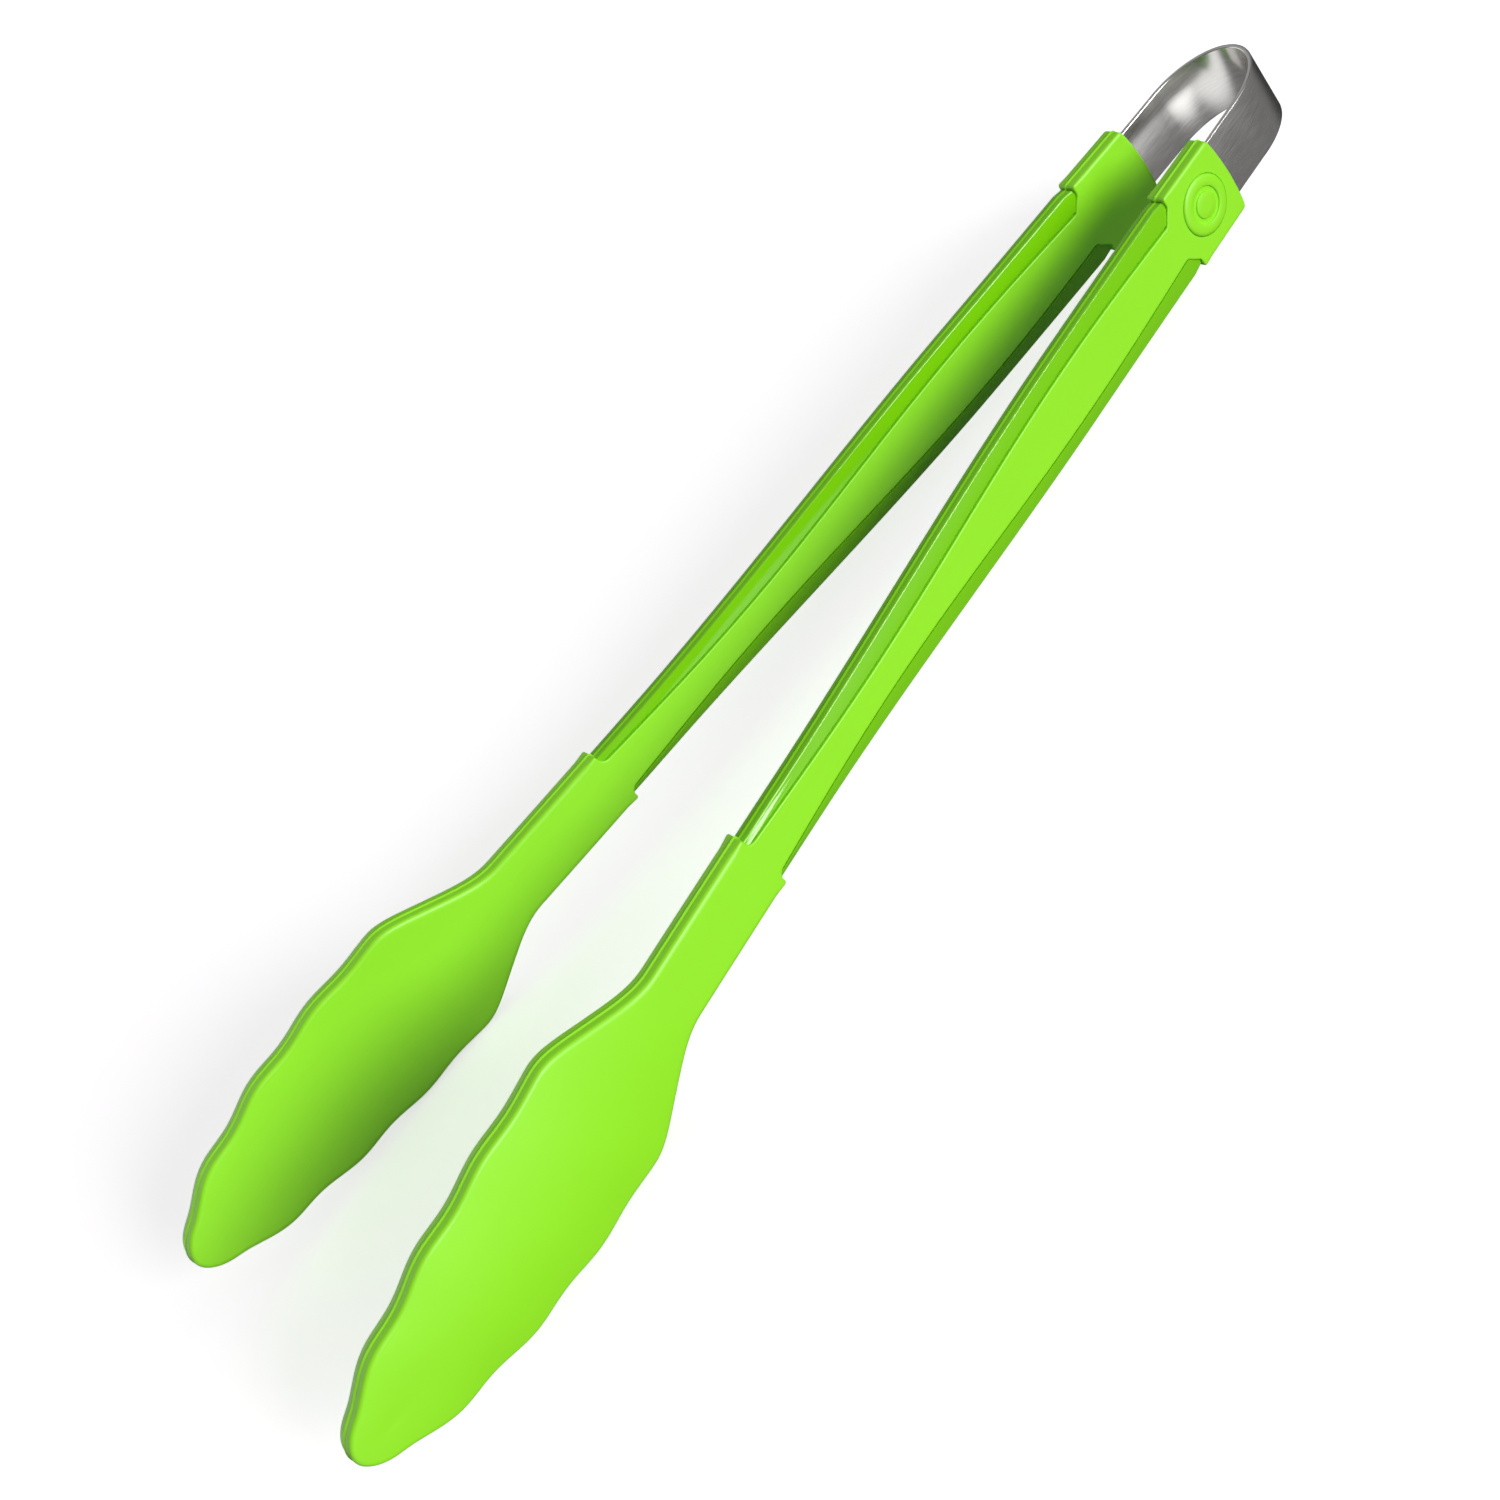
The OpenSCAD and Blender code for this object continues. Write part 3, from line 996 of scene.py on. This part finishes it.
def combine(tree, operation, first, second):
    """Adds or multiplies two values."""
    node = tree.nodes.new("ShaderNodeMath")
    node.operation = operation
    tree.links.new(first, node.inputs[0])
    tree.links.new(second, node.inputs[1])
    return node.outputs[0]


def facing(tree, place, direction):
    """How nearly a direction of the studio points one way, from -1 to 1."""
    node = tree.nodes.new("ShaderNodeVectorMath")
    node.operation = "DOT_PRODUCT"
    node.inputs[1].default_value = Vector(direction).normalized()
    tree.links.new(place, node.inputs[0])
    return node.outputs["Value"]


def make_studio(scene, settings):
    """Even light from above, little from below, and soft panels that only glossy rays see."""
    world = bpy.data.worlds.new("studio")
    scene.world = world
    world.use_nodes = True
    tree = world.node_tree
    background = tree.nodes["Background"]
    background.inputs["Strength"].default_value = settings.sky
    place = tree.nodes.new("ShaderNodeTexCoord").outputs["Generated"]
    up = facing(tree, place, (0, 0, 1))
    above = ramp(tree, up, -0.45, -0.1, 0.12, 1.0)
    back = facing(tree, place, (0.14, 0.78, 0.61))
    back_panel = ramp(tree, back, 0.86, 0.93, 0.0, settings.back_panel)
    low_panel = ramp(tree, facing(tree, place, (-0.766, -0.643, 0)), 0.62, 0.80, 1.0, settings.low_panel)
    front = facing(tree, place, (0.05, -0.93, -0.30))
    front_panel = ramp(tree, front, 0.90, 0.985, 0.0, settings.front_panel)
    dark_corner = ramp(tree, facing(tree, place, (0.6, 0.8, 0)), 0.35, 0.75, 1.0, 0.1)
    seen = combine(tree, "MULTIPLY", low_panel, dark_corner)
    below = ramp(tree, up, -0.35, 0.1, 1.0, 0.0)
    seen = combine(tree, "MULTIPLY", seen, below)
    seen = combine(tree, "ADD", combine(tree, "ADD", seen, back_panel), front_panel)
    glossy = tree.nodes.new("ShaderNodeLightPath").outputs["Is Glossy Ray"]
    extra = combine(tree, "MULTIPLY", seen, glossy)
    tree.links.new(combine(tree, "ADD", above, extra), background.inputs["Color"])


def add_sun(name, direction, angle, strength):
    """Adds a sun that shines from that direction."""
    deselect()
    bpy.ops.object.light_add(type="SUN", location=Vector(direction) * 2)
    light = bpy.context.object
    light.name = light.data.name = name
    light.data.angle = angle
    light.data.energy = strength
    light.rotation_euler = Vector(direction).to_track_quat("Z", "Y").to_euler()


def add_area(name, place, target, size, power):
    """Adds a round lamp that looks at a point."""
    deselect()
    bpy.ops.object.light_add(type="AREA", location=place)
    light = bpy.context.object
    light.name = light.data.name = name
    light.data.shape = "DISK"
    light.data.size = size
    light.data.energy = power
    light.rotation_euler = (Vector(target) - Vector(place)).to_track_quat("-Z", "Y").to_euler()


def add_camera(lens):
    """Adds the camera, from the directions of its right side and its back."""
    deselect()
    bpy.ops.object.camera_add()
    camera = bpy.context.object
    camera.name = "camera"
    camera.data.lens = lens
    camera.data.sensor_width = 36
    camera.data.clip_start = 0.01
    right = Vector((0.6, -0.5613, -0.57)).normalized()
    back = Vector((-0.1442, -0.7767, 0.6131)).normalized()
    up = back.cross(right).normalized()
    right = up.cross(back)
    turn = Matrix((right, up, back)).transposed().to_4x4()
    camera.matrix_world = Matrix.Translation((-0.07336, -0.31943, MID_HEIGHT + 0.24846)) @ turn
    bpy.context.scene.camera = camera


class TONGS_PT_panel(bpy.types.Panel):
    """Lists the steps that build the tongs"""

    bl_idname = "TONGS_PT_panel"
    bl_label = "Kitchen Tongs"
    bl_space_type = "VIEW_3D"
    bl_region_type = "UI"
    bl_category = "Tongs"

    def draw(self, context):
        for group, steps_of in GROUPS:
            box = self.layout.box()
            settings = getattr(context.scene, group)
            for name in settings.bl_rna.properties.keys():
                if name not in ("rna_type", "name"):
                    box.prop(settings, name)
            for step in steps_of:
                box.operator(step.bl_idname)


SETTINGS = {
    "tongs_skin": TongsSkinSettings,
    "tongs_core": TongsCoreSettings,
    "tongs_badge": TongsBadgeSettings,
    "tongs_strip": TongsStripSettings,
    "tongs_stage": TongsStageSettings,
}
GROUPS = (
    ("tongs_skin", (TONGS_OT_skins,)),
    ("tongs_core", (TONGS_OT_cores,)),
    ("tongs_badge", (TONGS_OT_badges,)),
    ("tongs_strip", (TONGS_OT_strip, TONGS_OT_fastenings)),
    ("tongs_stage", (TONGS_OT_stage,)),
)
CLASSES = (*SETTINGS.values(), TONGS_OT_skins, TONGS_OT_cores, TONGS_OT_badges, TONGS_OT_strip,
           TONGS_OT_fastenings, TONGS_OT_stage, TONGS_PT_panel)


def register():
    """Adds the settings, the steps and the panel to Blender."""
    for cls in CLASSES:
        bpy.utils.register_class(cls)
    for name, kind in SETTINGS.items():
        setattr(bpy.types.Scene, name, bpy.props.PointerProperty(type=kind))


def unregister():
    """Takes them away again."""
    for name in SETTINGS:
        delattr(bpy.types.Scene, name)
    for cls in reversed(CLASSES):
        bpy.utils.unregister_class(cls)


def main():
    """Builds the tongs and the stage."""
    register()
    bpy.ops.tongs.skins()
    bpy.ops.tongs.cores()
    bpy.ops.tongs.badges()
    bpy.ops.tongs.strip()
    bpy.ops.tongs.fastenings()
    bpy.ops.tongs.stage()


if __name__ == "__main__":
    main()
